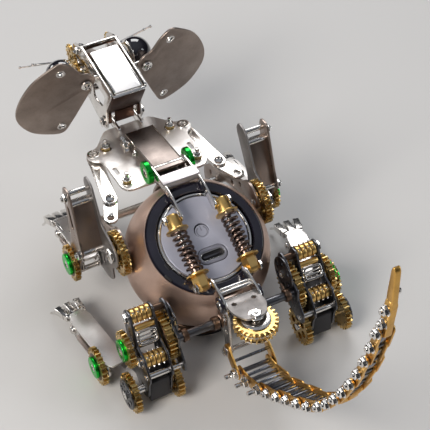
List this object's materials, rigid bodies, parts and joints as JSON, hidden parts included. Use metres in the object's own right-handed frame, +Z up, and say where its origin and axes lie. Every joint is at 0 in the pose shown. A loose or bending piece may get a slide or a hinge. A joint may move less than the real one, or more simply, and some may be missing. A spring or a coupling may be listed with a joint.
{
  "type": "steampunk clockwork mouse",
  "caption": "Metal-plate clockwork mouse built round a ball speaker, with gears, sprung struts over the control cap, geared legs, plate ears and a long hinged upturned tail.",
  "frame": {"origin": "centre of the flat underside of the belly base, below the middle of the ball", "axes": "+X the mouse's right, +Y towards the head, +Z up"},
  "size_m": [0.1016, 0.2168, 0.1301],
  "materials": {
    "battery_wrap": "shrink-wrapped cell",
    "black_gloss": "glossy black eye domes",
    "black_ring": "gloss black moulded plastic",
    "brass": "polished brass, darkened in the tooth gaps",
    "bronze_base": "dark bronze satin",
    "circuit_green": "solder-mask green board",
    "copper_shell": "satin rose-copper lacquer on an aluminium ball",
    "dark_nickel": "smoked bronze-nickel sheet, brushed",
    "gold": "gold-tinted plates with worn bright edges",
    "grey_cap": "satin light-grey control cap",
    "nickel": "bright brushed nickel-plated steel sheet",
    "spring_steel": "blackened spring steel wire"
  },
  "bodies": {
    "root": {"speaker_shell": "copper_shell", "speaker_bezel": "black_ring", "speaker_cap": "grey_cap", "usb_socket": "nickel", "circuit_board": "circuit_green", "driver_unit": "black_ring", "battery_cell": "battery_wrap", "belly_base": "bronze_base", "front_strap": "dark_nickel", "rear_strap": "dark_nickel", "spring_yoke": "nickel", "rear_frame": "nickel", "front_axle": "nickel", "neck_plate": "nickel", "neck_box": "nickel", "strut_upper_right": "brass", "strut_lower_right": "brass", "strut_spring_right": "spring_steel", "shoulder_arm_right": "dark_nickel", "link_arm_right": "nickel", "hind_cage_right": "nickel", "strut_upper_left": "brass", "strut_lower_left": "brass", "strut_spring_left": "spring_steel", "shoulder_arm_left": "dark_nickel", "link_arm_left": "nickel", "hind_cage_left": "nickel"},
    "power_button": {"power_button": "grey_cap"},
    "hip_gear": {"hip_gear": "brass"},
    "head": {"head_frame": "nickel", "head_box": "nickel", "snout": "dark_nickel", "eye_right": "black_gloss", "eye_left": "black_gloss"},
    "ear_right": {"ear_right": "dark_nickel"},
    "shoulder_gear_right": {"shoulder_gear_right": "brass"},
    "fore_leg_right": {"fore_leg_right": "nickel"},
    "fore_paw_right": {"fore_paw_right": "nickel", "fore_gear_right": "brass"},
    "hind_gear_right": {"hind_gear_right": "brass"},
    "heel_wheel_right": {"heel_wheel_right": "brass"},
    "hind_foot_right": {"hind_foot_right": "nickel", "ankle_gear_right": "brass"},
    "ear_left": {"ear_left": "dark_nickel"},
    "shoulder_gear_left": {"shoulder_gear_left": "brass"},
    "fore_leg_left": {"fore_leg_left": "nickel"},
    "fore_paw_left": {"fore_paw_left": "nickel", "fore_gear_left": "brass"},
    "hind_gear_left": {"hind_gear_left": "brass"},
    "heel_wheel_left": {"heel_wheel_left": "brass"},
    "hind_foot_left": {"hind_foot_left": "nickel", "ankle_gear_left": "brass"},
    "tail_link_1": {"tail_link_1": "gold"},
    "tail_link_2": {"tail_link_2": "gold"},
    "tail_link_3": {"tail_link_3": "gold"},
    "tail_link_4": {"tail_link_4": "gold"},
    "tail_link_5": {"tail_link_5": "gold"},
    "tail_link_6": {"tail_link_6": "gold"},
    "tail_tip": {"tail_tip": "gold"}
  },
  "joints": [
    {"name": "power_button_press", "type": "slide", "parent": "root", "child": "power_button", "axis": [0, 0.4384, -0.8988], "range_m": [0, 0.0003], "stiffness_N_per_m": 300},
    {"name": "hip_gear_spin", "type": "hinge", "parent": "root", "child": "hip_gear", "pos_m": [0, -0.0431, 0.032], "axis": [0, 0, 1], "continuous": true},
    {"name": "head_pitch", "type": "hinge", "parent": "root", "child": "head", "pos_m": [0, 0.0606, 0.0422], "axis": [1, 0, 0], "range_deg": [-12, 18]},
    {"name": "ear_right_swivel", "type": "hinge", "parent": "head", "child": "ear_right", "pos_m": [0.0117, 0.0634, 0.0597], "axis": [-0.118, 0.9688, 0.218], "range_deg": [-15, 15]},
    {"name": "shoulder_gear_right_spin", "type": "hinge", "parent": "root", "child": "shoulder_gear_right", "pos_m": [0.0255, 0.0044, 0.0354], "axis": [1, 0, 0], "continuous": true},
    {"name": "fore_leg_right_swing", "type": "hinge", "parent": "root", "child": "fore_leg_right", "pos_m": [0.0287, 0.0044, 0.0354], "axis": [1, 0, 0], "range_deg": [-4, 20]},
    {"name": "fore_paw_right_swing", "type": "hinge", "parent": "fore_leg_right", "child": "fore_paw_right", "pos_m": [0.03325, 0.0191, 0.0226], "axis": [1, 0, 0], "range_deg": [-8, 25]},
    {"name": "hind_gear_right_spin", "type": "hinge", "parent": "root", "child": "hind_gear_right", "pos_m": [0.023, -0.02348, 0.02066], "axis": [1, 0, 0], "continuous": true},
    {"name": "heel_wheel_right_spin", "type": "hinge", "parent": "root", "child": "heel_wheel_right", "pos_m": [0.0389, -0.031, 0.00737], "axis": [1, 0, 0], "continuous": true},
    {"name": "hind_foot_right_swing", "type": "hinge", "parent": "root", "child": "hind_foot_right", "pos_m": [0.0402, -0.015, 0.00692], "axis": [1, 0, 0], "range_deg": [0, 20]},
    {"name": "ear_left_swivel", "type": "hinge", "parent": "head", "child": "ear_left", "pos_m": [-0.0117, 0.0634, 0.0597], "axis": [0.118, 0.9688, 0.218], "range_deg": [-15, 15]},
    {"name": "shoulder_gear_left_spin", "type": "hinge", "parent": "root", "child": "shoulder_gear_left", "pos_m": [-0.0255, 0.0044, 0.0354], "axis": [1, 0, 0], "continuous": true},
    {"name": "fore_leg_left_swing", "type": "hinge", "parent": "root", "child": "fore_leg_left", "pos_m": [-0.0287, 0.0044, 0.0354], "axis": [1, 0, 0], "range_deg": [-4, 20]},
    {"name": "fore_paw_left_swing", "type": "hinge", "parent": "fore_leg_left", "child": "fore_paw_left", "pos_m": [-0.03325, 0.0191, 0.0226], "axis": [1, 0, 0], "range_deg": [-8, 25]},
    {"name": "hind_gear_left_spin", "type": "hinge", "parent": "root", "child": "hind_gear_left", "pos_m": [-0.023, -0.02348, 0.02066], "axis": [1, 0, 0], "continuous": true},
    {"name": "heel_wheel_left_spin", "type": "hinge", "parent": "root", "child": "heel_wheel_left", "pos_m": [-0.0389, -0.031, 0.00737], "axis": [1, 0, 0], "continuous": true},
    {"name": "hind_foot_left_swing", "type": "hinge", "parent": "root", "child": "hind_foot_left", "pos_m": [-0.0402, -0.015, 0.00692], "axis": [1, 0, 0], "range_deg": [0, 20]},
    {"name": "tail_hinge_1", "type": "hinge", "parent": "root", "child": "tail_link_1", "pos_m": [0, -0.0367, 0.017], "axis": [1, 0, 0], "range_deg": [-12, 10]},
    {"name": "tail_hinge_2", "type": "hinge", "parent": "tail_link_1", "child": "tail_link_2", "pos_m": [0, -0.043, 0.012], "axis": [1, 0, 0], "range_deg": [-12, 10]},
    {"name": "tail_hinge_3", "type": "hinge", "parent": "tail_link_2", "child": "tail_link_3", "pos_m": [0, -0.0558, 0.0168], "axis": [1, 0, 0], "range_deg": [-12, 10]},
    {"name": "tail_hinge_4", "type": "hinge", "parent": "tail_link_3", "child": "tail_link_4", "pos_m": [0, -0.0726, 0.0298], "axis": [1, 0, 0], "range_deg": [-12, 10]},
    {"name": "tail_hinge_5", "type": "hinge", "parent": "tail_link_4", "child": "tail_link_5", "pos_m": [0, -0.09, 0.046], "axis": [1, 0, 0], "range_deg": [-12, 10]},
    {"name": "tail_hinge_6", "type": "hinge", "parent": "tail_link_5", "child": "tail_link_6", "pos_m": [0, -0.1045, 0.0724], "axis": [1, 0, 0], "range_deg": [-12, 10]},
    {"name": "tail_hinge_7", "type": "hinge", "parent": "tail_link_6", "child": "tail_tip", "pos_m": [0, -0.1138, 0.1034], "axis": [1, 0, 0], "range_deg": [-12, 10]}
  ],
  "couplings": [
    {"joint": "heel_wheel_right_spin", "follows": "hind_gear_right_spin", "ratio": -1.25},
    {"joint": "heel_wheel_left_spin", "follows": "hind_gear_left_spin", "ratio": -1.25}
  ]
}
